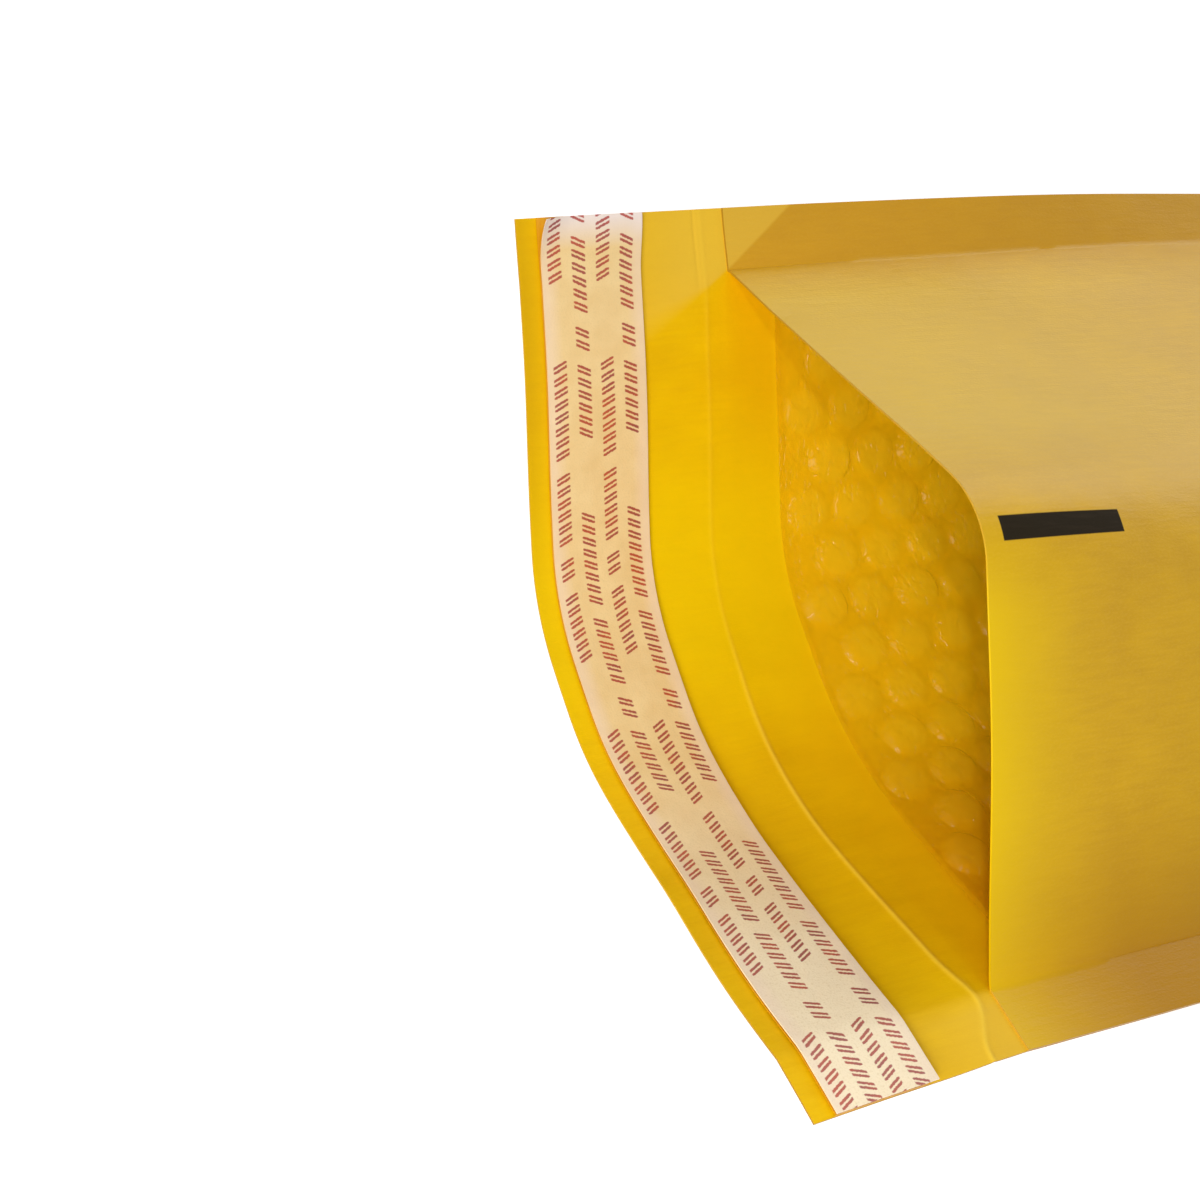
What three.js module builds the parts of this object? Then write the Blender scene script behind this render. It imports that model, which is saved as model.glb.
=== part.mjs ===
// A padded envelope of kraft paper, lined with air-bubble film, lying on its back panel with its mouth open.
//
// Millimetres. The origin is on the surface that the envelope lies on, under the middle of the mouth.
// +X runs from the mouth to the closed end, +Y across the mouth and +Z up.
// Every sheet has its own flat coordinates: x along the envelope and s across it, from the middle.
import * as THREE from "three";

// The paper sheet.
const WIDTH = 184; // across, over both side seams
const LENGTH = 300; // from the front panel's mouth edge to the fold at the closed end
const SEAM = 12; // glued flange along each side
const FLAP = 40; // from the flap's crease to its free edge
const CREASE_SETBACK = 5; // the flap's crease lies this far outside the front panel's mouth edge
const PAPER = 0.4; // one layer of paper with its film

// How the mouth gapes.
const SIDE_TURN = THREE.MathUtils.degToRad(32.5); // rise of the back panel's two sides at the mouth
const FLAT_HALF = 5; // half the width of the flat that the envelope lies on
const BEND_REACH_LEFT = 28; // from the flat's middle to the end of the bend on the +Y side
const BEND_REACH_RIGHT = 41; // and on the -Y side
const BEND_OFFSET = 3; // the flat's middle lies this far to +Y of the sheet's middle
const FLANGE_DROP_LEFT = THREE.MathUtils.degToRad(3); // the seams turn down a little from the back panel
const FLANGE_DROP_RIGHT = THREE.MathUtils.degToRad(12);
const RIDGE_SHARE = 0.513; // where the front panel's ridge lies, from the -Y seam
const RIDGE_BEND = 16.5; // length of paper that turns at the ridge, at the mouth
const RIDGE_SPREAD = 0.85; // share of the front panel that turns, at the closed end
const RIDGE_HASTE = 1.2; // above 1, the ridge stays sharp for longer from the mouth
const MOUTH_BOW = 3.5; // the ridge pulls the front panel's edge back by this much
const PAD_FULLNESS = 1.5; // spare width of the front panel over the pad at the closed end
const NOSE = 9; // length over which the front panel turns down to the closed end

// The pad of bubble film.
const CLEARANCE = 0.3; // gap between pieces that lie on each other
const PAD = 3.6; // from the paper to the top of a bubble
const BUBBLE_PITCH = 11.8; // between the middles of bubbles that touch
const BUBBLE_RISE = 1.4; // how far a bubble stands above the film between bubbles
const PAD_SETBACK = 11.5; // plain paper between the mouth edge and the pad
const PAD_CORNER_OUTER = 2.2; // the pad reaches into the seams until the papers come this close
const PAD_CORNER_INNER = 4.6; // and its hollow until they come this close
const PAD_LEAST_HOLLOW = 1; // hollow left between the two sides of the pad

// The closure on the flap.
const STRIP_WIDTH = 21; // peel-off strip over the adhesive
const STRIP_MARGIN = 4; // bare paper between the strip and the flap's free edge
const STRIP_PAPER = 0.3;
const ADHESIVE_WIDTH = 19;
const ADHESIVE_THICKNESS = 0.3;
const CURL_START = 11; // the strip's loose corner lifts from a line cut across it this far from the corner
const CURL_RADIUS = 9;

// Sizes that follow.
const HALF_WIDTH = WIDTH / 2;
const HALF_POCKET = HALF_WIDTH - SEAM;
const POCKET = 2 * HALF_POCKET;
const FLAP_END = -(CREASE_SETBACK + FLAP);
const WELD = 1e-4; // points closer than this are one point

// Numbers of steps.
const BODY_STEPS = 12;
const LEG_STEPS = 11;
const RIDGE_STEPS = 8;
const CURL_STEPS = 8;

// How much of the mouth's gape is left at x: all of it on the flap, none at the closed end.
function gape(x) {
  return x < 0 ? 1 : 1 - x / LENGTH;
}

// Half of the back panel's section, from the flat's middle outwards: how far out and up a point of the sheet
// lies, and the way the sheet slopes there.
function halfSection(q, bendReach, seamReach, turn, flangeDrop) {
  const bendLength = bendReach - FLAT_HALF;
  const radius = bendLength / Math.max(turn, 1e-6);
  const bent = THREE.MathUtils.clamp(q - FLAT_HALF, 0, bendLength);
  const straight = THREE.MathUtils.clamp(q - bendReach, 0, seamReach - bendReach);
  const flange = Math.max(q - seamReach, 0);
  const flangeTurn = turn - flangeDrop;
  return {
    out:
      Math.min(q, FLAT_HALF) +
      radius * Math.sin(bent / radius) +
      straight * Math.cos(turn) +
      flange * Math.cos(flangeTurn),
    up: radius * (1 - Math.cos(bent / radius)) + straight * Math.sin(turn) + flange * Math.sin(flangeTurn),
    slope: flange > 0 ? flangeTurn : bent / radius,
  };
}

// A point of the back panel or the flap, lifted off the outer face by lift along the sheet's normal.
function backPoint(x, s, lift) {
  const turn = SIDE_TURN * gape(x);
  const left = s > BEND_OFFSET;
  const side = left ? 1 : -1;
  const half = halfSection(
    Math.abs(s - BEND_OFFSET),
    left ? BEND_REACH_LEFT : BEND_REACH_RIGHT,
    HALF_POCKET - side * BEND_OFFSET,
    turn,
    (left ? FLANGE_DROP_LEFT : FLANGE_DROP_RIGHT) * gape(x),
  );
  return new THREE.Vector3(
    x,
    BEND_OFFSET + side * (half.out - lift * Math.sin(half.slope)),
    half.up + lift * Math.cos(half.slope),
  );
}

// How far the front panel still stands up at x, when it turns down to the back panel at noseEnd.
function noseHeight(x, noseEnd) {
  const along = THREE.MathUtils.clamp((x - (noseEnd - NOSE)) / NOSE, 0, 1);
  return Math.sqrt(1 - along * along);
}

// The front panel's section at x: an arch of fixed length from the -Y seam to the +Y seam, with two straight
// legs and a rounded ridge. The ridge turns as far as the distance between the seams asks for.
function frontSection(x) {
  const right = backPoint(x, -HALF_POCKET, PAPER);
  const left = backPoint(x, HALF_POCKET, PAPER);
  const chord = right.distanceTo(left);
  const closed = 1 - gape(x);
  const length = POCKET + PAD_FULLNESS * closed;
  const bend = THREE.MathUtils.lerp(RIDGE_BEND, RIDGE_SPREAD * length, Math.pow(closed, RIDGE_HASTE));
  const leg = THREE.MathUtils.clamp(RIDGE_SHARE * length - bend / 2, 1, length - bend - 1);
  const pointAt = (arc, turn) => {
    const radius = bend / turn;
    const bent = THREE.MathUtils.clamp(arc - leg, 0, bend) / radius;
    const rest = Math.max(arc - leg - bend, 0);
    return new THREE.Vector2(
      Math.min(arc, leg) + radius * Math.sin(bent) + rest * Math.cos(turn),
      -radius * (1 - Math.cos(bent)) - rest * Math.sin(turn),
    );
  };
  let least = 1e-4;
  let most = Math.PI;
  for (let i = 0; i < 50; i++) {
    const middle = (least + most) / 2;
    if (pointAt(length, middle).length() > chord) least = middle;
    else most = middle;
  }
  const turn = least;
  const tilt = pointAt(length, turn).angle();
  const across = left.clone().sub(right).divideScalar(chord);
  const up = new THREE.Vector3(0, -across.z, across.y);
  return { x, right, across, up, length, bend, leg, turn, tilt, pointAt };
}

// A point of the front panel's inner face at a share of the arch from the -Y seam, lifted outwards by lift.
function frontPoint(section, share, lift, noseEnd) {
  const arc = share * section.length;
  const flat = section.pointAt(arc, section.turn).rotateAround(new THREE.Vector2(), -section.tilt);
  const bent = THREE.MathUtils.clamp(arc - section.leg, 0, section.bend) / section.bend;
  const slope = -bent * section.turn - section.tilt;
  const stand = noseHeight(section.x, noseEnd);
  const point = section.right
    .clone()
    .addScaledVector(section.across, flat.x - lift * Math.sin(slope))
    .addScaledVector(section.up, flat.y * stand + lift * Math.cos(slope));
  point.x += MOUTH_BOW * Math.sin(Math.PI * share) * gape(section.x);
  return point;
}

// A list of steps from one number to another, both ends included.
function steps(from, to, count) {
  return Array.from({ length: count + 1 }, (_, i) => THREE.MathUtils.lerp(from, to, i / count));
}

// Shares across the pocket, from the -Y seam to the +Y seam, closer together at the ridge.
function pocketShares() {
  const from = RIDGE_SHARE - RIDGE_BEND / POCKET;
  const to = RIDGE_SHARE + RIDGE_BEND / POCKET;
  const ridge = steps(from, to, RIDGE_STEPS);
  return [...steps(0, from, LEG_STEPS).slice(0, -1), ...ridge, ...steps(to, 1, LEG_STEPS).slice(1)];
}

// The same steps in the sheet's own millimetres, with the flanges' edges.
function sheetSteps() {
  return [-HALF_WIDTH, ...pocketShares().map((share) => (share - 0.5) * POCKET), HALF_WIDTH];
}

// Steps along the pocket from its start to last, with the turn down to noseEnd in short steps.
function pocketLengths(start, noseEnd, last) {
  const turn = [0, 0.3, 0.55, 0.75, 0.9].map((share) => noseEnd - NOSE + share * NOSE);
  const body = steps(start, noseEnd - NOSE, BODY_STEPS).slice(0, -1);
  return [...body, ...turn.filter((x) => x < last - PAPER / 2), last];
}

// Adds a net of points to a list of triangles. Rows that run along +X with columns along +Y face up.
function addNet(triangles, rows, turnedOver) {
  const add = (a, b, c) => {
    const sides = [a.distanceTo(b), b.distanceTo(c), c.distanceTo(a)];
    if (Math.min(...sides) < WELD) return;
    triangles.push(...(turnedOver ? [a, c, b] : [a, b, c]));
  };
  for (let i = 0; i + 1 < rows.length; i++) {
    for (let j = 0; j + 1 < rows[i].length; j++) {
      add(rows[i][j], rows[i + 1][j], rows[i + 1][j + 1]);
      add(rows[i][j], rows[i + 1][j + 1], rows[i][j + 1]);
    }
  }
}

function meshOf(name, triangles, material) {
  const geometry = new THREE.BufferGeometry().setFromPoints(triangles);
  geometry.computeVertexNormals();
  const mesh = new THREE.Mesh(geometry, material);
  mesh.name = name;
  return mesh;
}

// The paper sheet, folded at the closed end and glued along both sides. The back panel runs on as the flap.
function kraftWrapper() {
  const triangles = [];
  const shares = pocketShares();
  const whole = sheetSteps();
  const pocket = whole.slice(1, -1);
  const flapLengths = [FLAP_END, -CREASE_SETBACK, 0];
  const bodyLengths = pocketLengths(0, LENGTH, LENGTH);
  const hollowEnd = LENGTH - PAPER;
  const hollowLengths = pocketLengths(0, hollowEnd, LENGTH - 3 * PAPER);

  const backRow = (x, across, lift) => across.map((s) => backPoint(x, s, lift));
  const frontInside = (x) => {
    const section = frontSection(x);
    const row = shares.map((share) => frontPoint(section, share, 0, hollowEnd));
    row[0] = backPoint(x, -HALF_POCKET, PAPER);
    row[row.length - 1] = backPoint(x, HALF_POCKET, PAPER);
    return row;
  };
  // The front panel's outer face meets the flange's in a valley, a paper's thickness from both.
  const valley = (section, share, seam, tip) => {
    const inside = backPoint(section.x, seam, PAPER);
    const normal = backPoint(section.x, tip, 1).sub(backPoint(section.x, tip, 0));
    const archNormal = frontPoint(section, share, 1, LENGTH).sub(frontPoint(section, share, 0, LENGTH));
    return inside.addScaledVector(normal.clone().add(archNormal), PAPER / (1 + normal.dot(archNormal)));
  };
  const frontOutside = (x) => {
    const section = frontSection(x);
    const row = shares.map((share) => frontPoint(section, share, PAPER, LENGTH));
    row[0] = valley(section, 0, -HALF_POCKET, -HALF_WIDTH);
    row[row.length - 1] = valley(section, 1, HALF_POCKET, HALF_WIDTH);
    return [backPoint(x, -HALF_WIDTH, 2 * PAPER), ...row, backPoint(x, HALF_WIDTH, 2 * PAPER)];
  };

  addNet(triangles, [...flapLengths, ...bodyLengths.slice(1)].map((x) => backRow(x, whole, 0)), true);
  addNet(triangles, flapLengths.map((x) => backRow(x, whole, PAPER)), false);
  addNet(triangles, hollowLengths.map((x) => backRow(x, pocket, PAPER)), false);
  addNet(triangles, bodyLengths.map(frontOutside), false);
  addNet(triangles, hollowLengths.map(frontInside), true);

  const mouthInside = [backPoint(0, -HALF_WIDTH, PAPER), ...frontInside(0), backPoint(0, HALF_WIDTH, PAPER)];
  addNet(triangles, [mouthInside, frontOutside(0)], false);
  addNet(triangles, [backRow(FLAP_END, whole, 0), backRow(FLAP_END, whole, PAPER)], false);
  addNet(
    triangles,
    [backRow(LENGTH, whole, 0), backRow(LENGTH, whole, PAPER), frontOutside(LENGTH)],
    true,
  );
  const last = hollowLengths[hollowLengths.length - 1];
  addNet(triangles, [backRow(last, pocket, PAPER), frontInside(last)], false);
  for (const edge of [-HALF_WIDTH, HALF_WIDTH]) {
    const layers = (x, count) => steps(0, count * PAPER, count).map((lift) => backPoint(x, edge, lift));
    addNet(triangles, flapLengths.map((x) => layers(x, 1)), edge > 0);
    addNet(triangles, bodyLengths.map((x) => layers(x, 2)), edge > 0);
  }
  return meshOf(
    "kraft_wrapper",
    triangles,
    new THREE.MeshStandardMaterial({ color: 0xd9a93c, roughness: 0.75, metalness: 0 }),
  );
}

// The cells of a honeycomb over a sheet, one for each bubble. Places count half pitches along the sheet and
// thirds of a row across it. Rows start by turns with a whole cell and with half a cell.
function honeycomb(halfPitches, rows) {
  const thirds = 3 * (rows - 1) + 2;
  const around = [[1, -1], [1, 1], [0, 2], [-1, 1], [-1, -1], [0, -2]];
  const cells = [];
  for (let row = 0; row < rows; row++) {
    for (let i = 1 - (row % 2); i <= halfPitches; i += 2) {
      const middle = [i, 1 + 3 * row];
      const corners = around
        .map(([di, dj]) => [middle[0] + di, middle[1] + dj])
        .filter(([ci, cj]) => ci >= 0 && ci <= halfPitches && cj >= 0 && cj <= thirds);
      cells.push({ middle, corners, whole: i > 0 && i < halfPitches });
    }
  }
  return { cells, thirds };
}

// The bubble film, folded at the closed end with the paper and closed along both sides: a bag in the bag.
// Its outer face is smooth, and its inner face has a bubble in each cell of a honeycomb.
function bubbleLiner() {
  const triangles = [];
  const outerEnd = LENGTH - 4 * PAPER;
  const innerEnd = outerEnd - PAD / 2;
  const innerLast = innerEnd - 2 * PAPER;
  const rowSpacing = (BUBBLE_PITCH * Math.sqrt(3)) / 2;
  const rows = 2 * Math.round((POCKET - 2 * PAD_CORNER_INNER) / rowSpacing / 2 - 0.5) + 1;
  const halfPitches = 2 * Math.round((innerLast - PAD_SETBACK) / BUBBLE_PITCH);
  const { cells, thirds } = honeycomb(halfPitches, rows);

  const gapAt = (section, share) =>
    backPoint(section.x, (share - 0.5) * POCKET, PAPER).distanceTo(frontPoint(section, share, 0, LENGTH));
  // The share, counted from one seam, at which the two papers lie a given distance apart.
  const cornerShare = (section, seamShare, gap) => {
    let near = 0;
    let far = 0.4;
    for (let i = 0; i < 30; i++) {
      const middle = (near + far) / 2;
      if (gapAt(section, Math.abs(seamShare - middle)) < gap) near = middle;
      else far = middle;
    }
    return Math.abs(seamShare - far);
  };
  // One section of one face of the pad, asked for its points by thirds of a row across and by their depth
  // below the papers. The back and the front point meet halfway between the papers at the section's ends.
  const padSection = (x, cornerGap, noseEnd) => {
    const section = frontSection(x);
    const from = cornerShare(section, 0, cornerGap);
    const to = cornerShare(section, 1, cornerGap);
    return (third, depthIn) => {
      const share = THREE.MathUtils.lerp(from, to, third / thirds);
      const depth = depthIn(gapAt(section, share));
      const back = backPoint(x, (share - 0.5) * POCKET, PAPER + depth);
      const front = frontPoint(section, share, -depth, noseEnd);
      if (third > 0 && third < thirds) return { back, front };
      const seam = back.add(front).multiplyScalar(0.5);
      return { back: seam, front: seam };
    };
  };
  const edgeThirds = steps(0, thirds, thirds / 2);
  const hollowDepth = (height) => (gap) => Math.min(height, (gap - PAD_LEAST_HOLLOW) / 2);
  const outer = pocketLengths(PAD_SETBACK, outerEnd, outerEnd - 2 * PAPER).map((x) => {
    const pointsAt = padSection(x, PAD_CORNER_OUTER, outerEnd);
    return edgeThirds.map((third) => pointsAt(third, () => CLEARANCE));
  });
  const innerLengths = steps(PAD_SETBACK, innerLast, halfPitches);
  const inner = innerLengths.map((x) => padSection(x, PAD_CORNER_INNER, innerEnd));
  const valleyAt = ([i, third]) => inner[i](third, hollowDepth(PAD - BUBBLE_RISE));
  const crownAt = ([i, third]) => inner[i](third, hollowDepth(PAD));

  const side = (net, name) => net.map((row) => row.map((points) => points[name]));
  addNet(triangles, side(outer, "back"), true);
  addNet(triangles, side(outer, "front"), false);
  for (const cell of cells) {
    const middle = cell.whole ? crownAt(cell.middle) : valleyAt(cell.middle);
    cell.corners.forEach((corner, k) => {
      const next = cell.corners[(k + 1) % cell.corners.length];
      if (corner[0] === next[0] && corner[0] === cell.middle[0]) return;
      const [a, b] = [valleyAt(corner), valleyAt(next)];
      triangles.push(middle.back, a.back, b.back, middle.front, b.front, a.front);
    });
  }
  const innerRow = (i) => edgeThirds.map((third) => valleyAt([i, third]));
  const mouth = innerRow(0);
  addNet(triangles, side([outer[0], mouth], "back"), false);
  addNet(triangles, side([mouth, outer[0]], "front"), false);
  for (const [row, turnedOver] of [[outer[outer.length - 1], true], [innerRow(halfPitches), false]]) {
    addNet(triangles, [row.map((points) => points.back), row.map((points) => points.front)], turnedOver);
  }
  return meshOf(
    "bubble_liner",
    triangles,
    new THREE.MeshStandardMaterial({ color: 0xd9a520, roughness: 0.3, metalness: 0 }),
  );
}

// A thin strip that lies on the flap from edge to edge, with the paper's own steps across. loosen moves a
// point of the sheet: along it, across it and off it.
function flapStrip(name, lengths, across, lift, thickness, loosen, material) {
  const triangles = [];
  const net = (height) =>
    lengths.map((x) =>
      across.map((s) => {
        const moved = loosen(x, s);
        return backPoint(moved.x, moved.s, PAPER + height + moved.rise);
      }),
    );
  const under = net(lift);
  const over = net(lift + thickness);
  addNet(triangles, under, true);
  addNet(triangles, over, false);
  addNet(triangles, [under[0], over[0]], false);
  addNet(triangles, [under[under.length - 1], over[over.length - 1]], true);
  const end = (j) => under.map((row, i) => [row[j], over[i][j]]);
  addNet(triangles, end(0), false);
  addNet(triangles, end(across.length - 1), true);
  return meshOf(name, triangles, material);
}

function adhesiveStrip() {
  const start = FLAP_END + STRIP_MARGIN;
  return flapStrip(
    "adhesive_strip",
    [start, start + ADHESIVE_WIDTH],
    sheetSteps(),
    CLEARANCE,
    ADHESIVE_THICKNESS,
    (x, s) => ({ x, s, rise: 0 }),
    new THREE.MeshStandardMaterial({ color: 0xd9980f, roughness: 0.35, metalness: 0 }),
  );
}

// The peel-off strip. Its corner at the flap's free edge on the +Y side has come loose and curls up.
function releaseStrip() {
  const start = FLAP_END + STRIP_MARGIN;
  const curlFrom = HALF_WIDTH - CURL_START;
  const curl = (x, s) => {
    const beyond = (CURL_START - (x - start) - (HALF_WIDTH - s)) / Math.SQRT2;
    if (beyond <= 0) return { x, s, rise: 0 };
    const drawn = (beyond - CURL_RADIUS * Math.sin(beyond / CURL_RADIUS)) / Math.SQRT2;
    return { x: x + drawn, s: s - drawn, rise: CURL_RADIUS * (1 - Math.cos(beyond / CURL_RADIUS)) };
  };
  return flapStrip(
    "release_strip",
    [...steps(start, start + CURL_START, CURL_STEPS), start + STRIP_WIDTH],
    [...sheetSteps().filter((s) => s < curlFrom), ...steps(curlFrom, HALF_WIDTH, CURL_STEPS)],
    2 * CLEARANCE + ADHESIVE_THICKNESS,
    STRIP_PAPER,
    curl,
    new THREE.MeshStandardMaterial({ color: 0xe9d3a0, roughness: 0.5, metalness: 0 }),
  );
}

const envelope = new THREE.Group();
envelope.add(kraftWrapper(), bubbleLiner(), adhesiveStrip(), releaseStrip());

export default envelope;
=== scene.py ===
import math

import bpy
import numpy as np
from mathutils import Matrix, Vector

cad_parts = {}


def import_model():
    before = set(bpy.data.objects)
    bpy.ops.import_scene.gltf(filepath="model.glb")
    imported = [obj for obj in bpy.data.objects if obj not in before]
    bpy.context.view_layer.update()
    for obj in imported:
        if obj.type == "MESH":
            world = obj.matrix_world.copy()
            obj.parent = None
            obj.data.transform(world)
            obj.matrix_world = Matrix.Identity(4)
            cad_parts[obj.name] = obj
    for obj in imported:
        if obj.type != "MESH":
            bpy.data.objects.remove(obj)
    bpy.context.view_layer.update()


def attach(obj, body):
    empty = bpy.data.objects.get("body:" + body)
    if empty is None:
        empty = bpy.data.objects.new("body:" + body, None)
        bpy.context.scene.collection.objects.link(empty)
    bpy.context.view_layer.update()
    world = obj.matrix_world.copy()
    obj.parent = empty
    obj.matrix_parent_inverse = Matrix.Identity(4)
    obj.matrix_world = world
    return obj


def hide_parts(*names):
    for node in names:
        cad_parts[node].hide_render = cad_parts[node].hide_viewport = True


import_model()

# A padded envelope of kraft paper, lined with bubble film, lying on its back panel with its mouth open.
# Metres. +X runs from the mouth to the closed end, +Y across the mouth and +Z up. Every sheet is described by
# its own flat coordinates: x along the envelope and s across it, from the middle.

# The paper sheet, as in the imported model.
WIDTH = 0.184  # across, over both side seams
LENGTH = 0.300  # from the front panel's mouth edge to the fold at the closed end
SEAM = 0.012  # glued flange along each side
FLAP = 0.040  # from the flap's crease to its free edge
CREASE_SETBACK = 0.005  # the flap's crease lies this far outside the front panel's mouth edge
PAPER = 0.0004  # one layer of paper with its film

# How the mouth gapes.
SIDE_TURN = math.radians(32.5)  # rise of the back panel's two sides at the mouth
FLAT_HALF = 0.005  # half the width of the flat that the envelope lies on
BEND_REACH_LEFT = 0.028  # from the flat's middle to the end of the bend on the +Y side
BEND_REACH_RIGHT = 0.041  # and on the -Y side
BEND_OFFSET = 0.003  # the flat's middle lies this far to +Y of the sheet's middle
FLANGE_DROP_LEFT = math.radians(3)  # the seams turn down a little from the back panel
FLANGE_DROP_RIGHT = math.radians(12)
RIDGE_SHARE = 0.513  # where the front panel's ridge lies, from the -Y seam
RIDGE_BEND = 0.0165  # length of paper that turns at the ridge, at the mouth
RIDGE_SPREAD = 0.85  # share of the front panel that turns, at the closed end
RIDGE_HASTE = 1.2  # above 1, the ridge stays sharp for longer from the mouth
MOUTH_BOW = 0.0035  # the ridge pulls the front panel's edge back by this much
PAD_FULLNESS = 0.0015  # spare width of the front panel over the pad at the closed end
NOSE = 0.009  # length over which the front panel turns down to the closed end

# How the paper is creased and handled.
CREASE_BOWS = ((-0.0015, -0.025, 0.035), (0.0016, -0.080, 0.006))  # how far, at what s and how wide
CREASE_TURN = (0.0026, -0.081, 0.010)  # it runs out to the -Y edge: how far, from what s, over what length
CREASE_WIDTH = 0.0005  # half the width of its raised line and of the painted highlight along it
CREASE_HALF = (0.02, 0.05)  # the crease is sharp and has a strong painted highlight on the -Y side: from what s, over what length
CREASE_FAINT = 0.35  # share of its sharpness on the +Y side
CREASE_WEAK_HIGHLIGHT = 0.15  # and of its painted highlight
CREASE_HEIGHT = 0.00016  # of the raised line
CREASE_SLOPE = 0.07  # of the paper on both sides of the crease
CREASE_ROUNDING = 0.0004
CREASE_REACH = 0.012
SCORE_DEPTH = 0.00012  # a score beside the crease, at the +Y edge
SCORE_OFFSET = 0.0016
SCORE_WIDTH = 0.0003
SCORE_FROM = 0.074  # the s where it starts
SCORE_FADE = 0.01
CORNER_ACROSS = (-0.562, 0.827)  # across the fold at the mouth's +Y corner, in x and s
CORNER_SLOPE = 0.14
CORNER_ROUNDING = 0.0008
CORNER_REACH = 0.017
CUT_DEPTH = 0.0022  # the flap's free edge is drawn in by this much
CUT_MIDDLE = -0.033  # at this s
CUT_WIDTH = 0.02
BACK_WAVES = (  # height, length along and length across for each radian, and phase
    (0.00035, 0.021, 0.034, 0.6),
    (0.00025, -0.045, 0.013, 2.1),
    (0.00012, 0.017, 0.0061, 0.0),
)
FRONT_WAVES = (
    (0.00040, 0.032, 0.027, 1.1),
    (0.00030, 0.013, -0.031, 0.4),
    (0.00015, 0.026, 0.0085, 0.0),
)
WAVE_RISE = 0.03  # width over which the back panel's waves grow, from the flat that it lies on
WAVE_LOSS = 0.8  # share of them that is gone at the closed end
FRONT_SEAM_SHARE = 0.12  # share of the front panel that takes its waves from the seam's

# The pad of bubble film.
CLEARANCE = 0.0003  # gap between pieces that lie on each other
PAD = 0.0036  # from the paper to the top of a bubble
BUBBLE_PITCH = 0.0118  # between the middles of bubbles that touch
FILM_DEPTH = 0.0016  # from the paper to the film between the bubbles
PAD_SETBACK = 0.0115  # plain paper between the mouth edge and the pad
PAD_CORNER_OUTER = 0.0022  # the pad reaches into the seams until the papers come this close
PAD_CORNER_INNER = 0.0046  # and its hollow until they come this close
PAD_LEAST_HOLLOW = 0.001  # hollow left between the two sides of the pad
LEAST_BUBBLE = 0.6  # share of its full height that a slack bubble has
BUBBLE_LEAN = 0.08  # of half a pitch or a third of a row, at most
BUBBLE_RADIUS = 0.93  # of half a pitch
BUBBLE_RINGS = np.array([0.0, 0.32, 0.58, 0.76, 0.88, 0.95, 1.0])  # shares of that radius
BUBBLE_RISE = np.array([1.0, 0.985, 0.92, 0.76, 0.52, 0.26, 0.0])  # and the height at each
CELL_SIDE_STEPS = 3  # steps along each side of a cell
HALF_CELL_SHIFT = 0.4  # a half cell at the pad's ends has its middle this far inside, in half pitches

# The closure on the flap.
STRIP_WIDTH = 0.021  # peel-off strip over the adhesive
STRIP_MARGIN = 0.004  # bare paper between the strip and the flap's free edge
STRIP_PAPER = 0.0003
ADHESIVE_WIDTH = 0.019
ADHESIVE_THICKNESS = 0.0003
CURL_START = 0.0095  # the strip's loose corner lifts from a line cut across it this far from the corner
CURL_RADIUS = 0.0085
STRIP_FLARE = 0.0012  # the strip's loose end is this much wider
STRIP_FLARE_LENGTH = 0.012

# Steps of the meshes.
ACROSS_STEP = 0.0020
FLANGE_STEP = 0.001
ALONG_STEP = 0.0025
PAD_BACK_STEP = 0.008
STRIP_STEP = 0.0016
FINE_STRIP_STEP = 0.0007
WELD = 1e-6  # points closer than this become one
SHARP_ANGLE = math.radians(50)

# Sizes that follow.
HALF_WIDTH = WIDTH / 2
HALF_POCKET = HALF_WIDTH - SEAM
POCKET = 2 * HALF_POCKET
FLAP_END = -(CREASE_SETBACK + FLAP)

# The printed bar on the front panel.
BAR_START = 0.0048  # from the mouth edge
BAR_END = 0.0395
BAR_LOW = -0.0028  # across the panel, from its middle
BAR_HIGH = 0.0014

# The camera, from the photograph's perspective, in a square picture.
CAMERA_PLACE = (-0.1973, -0.0716, 0.2930)
CAMERA_RIGHT = (0.86635, -0.30166, 0.39803)
CAMERA_DOWN = (-0.14855, -0.91655, -0.37130)
CAMERA_LENS = 54.39
CAMERA_SENSOR = 36.0

# Area lamps: name, place, what they point at, size and power in watts.
LAMPS = (
    ("Key", (-0.38, -0.25, 0.34), (0.02, 0, 0.02), (0.28, 0.28), 2.65),
    ("Side", (0.05, 0.45, 0.42), (0.02, 0, 0.02), (0.28, 0.28), 0.5),
    ("Backdrop", (0.65, 0.56, 0.34), (0.12, 0.03, 0.03), (0.9, 0.4), 2.6),
    ("Spark", (-0.30, -0.02, 0.50), (0.05, 0, 0.02), (0.015, 0.015), 0.4),
)
WORLD_LIGHT = 0.24  # the world's strength as light
WORLD_SEEN = 1.0  # and as the background, in reflections and through film
FLOOR_REACH = 6.0
FLOOR_DROP = 0.0002  # the floor lies this far under the envelope
FLOOR_GREY = 0.8
FLOOR_SEEN = 0.6  # what the floor adds where it is seen


# The sheets

def gape(x):
    """How much of the mouth's gape is left at x: all of it on the flap, none at the closed end."""
    return np.where(x < 0, 1.0, 1 - x / LENGTH)


def smooth(t):
    """A step from 0 to 1 with soft ends."""
    t = np.clip(t, 0, 1)
    return t * t * (3 - 2 * t)


def hump(t):
    """A bell of height 1 about 0."""
    return np.exp(-t * t)


def crease_line(s):
    """Where the flap's crease crosses the sheet at s. It bows out near the middle, in at the -Y seam and out
    again towards that edge."""
    bow = sum(far * hump((s - middle) / width) for far, middle, width in CREASE_BOWS)
    far, start, length = CREASE_TURN
    return -CREASE_SETBACK + bow - far * smooth((start - s) / length)


def crease_side(s):
    """1 on the -Y side, where the crease is sharp and has a strong painted highlight, and 0 on the +Y side.
    """
    start, length = CREASE_HALF
    return smooth((start - s) / length)


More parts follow.
